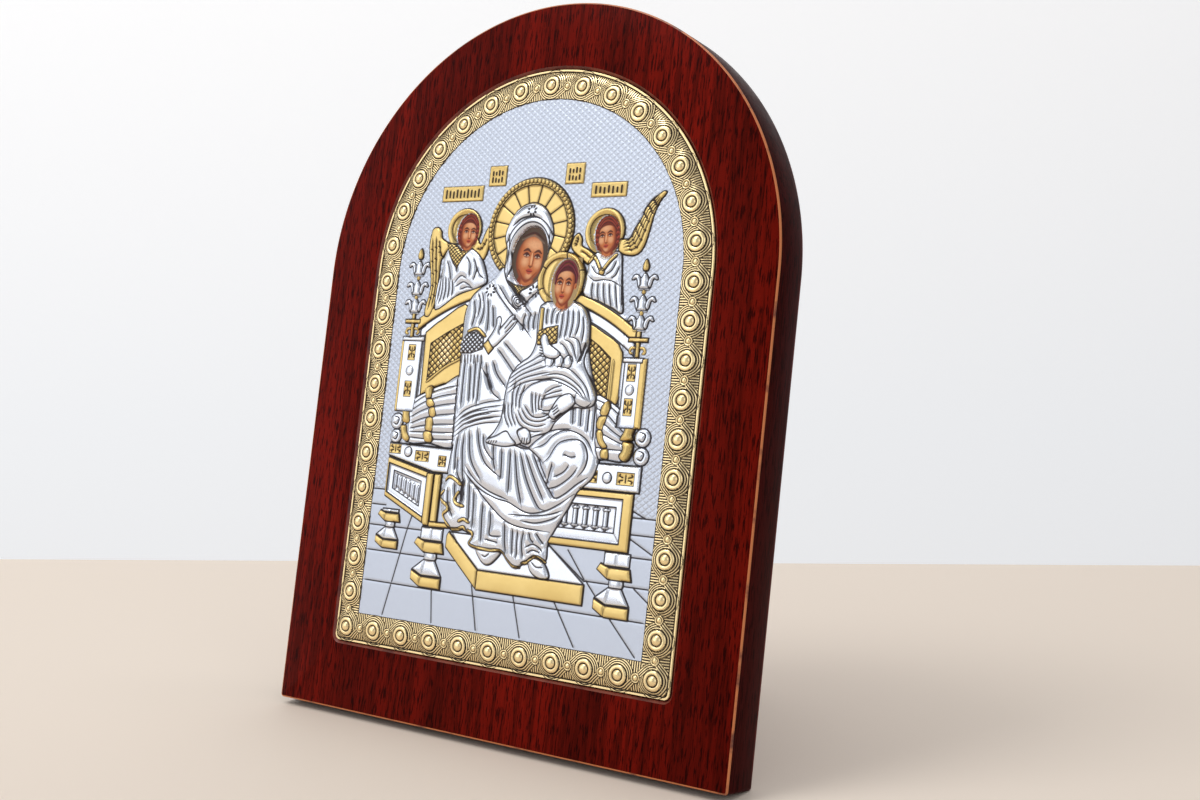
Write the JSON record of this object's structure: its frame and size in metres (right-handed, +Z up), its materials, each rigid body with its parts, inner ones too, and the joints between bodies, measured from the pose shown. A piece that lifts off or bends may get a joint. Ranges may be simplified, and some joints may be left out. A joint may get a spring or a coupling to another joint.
{
  "type": "icon panel",
  "caption": "Arched wooden panel with an embossed silver and gilt relief of a seated mother and child under two winged figures, leaning on a hinged easel strut.",
  "frame": {"origin": "on the floor under the middle of the whole panel's box, at rest on its open strut", "axes": "+Z up, the relief faces -Y and leans back towards +Y, +X to the viewer's right"},
  "size_m": [0.195, 0.1288, 0.2602],
  "materials": {
    "lacquered_wood": "deep red-brown veneer under satin lacquer",
    "plain_wood": "stained hardwood, plain",
    "embossed_metal": "silvered relief, matt ground, gilded border and details",
    "printed_card": "printed card, matt, flesh and dark brown",
    "brass": "plain brass, satin"
  },
  "bodies": {
    "panel": {"board": "lacquered_wood", "picture_card": "printed_card", "relief_sheet": "embossed_metal", "hinge_leaf_board": "brass", "hinge_pin": "brass"},
    "strut": {"strut": "plain_wood", "hinge_leaf_strut": "brass"}
  },
  "joints": [
    {"name": "strut_hinge", "type": "hinge", "parent": "panel", "child": "strut", "pos_m": [0, -0.01707, 0.14853], "axis": [-1, 0, 0], "range_deg": [0, 35.5]}
  ]
}
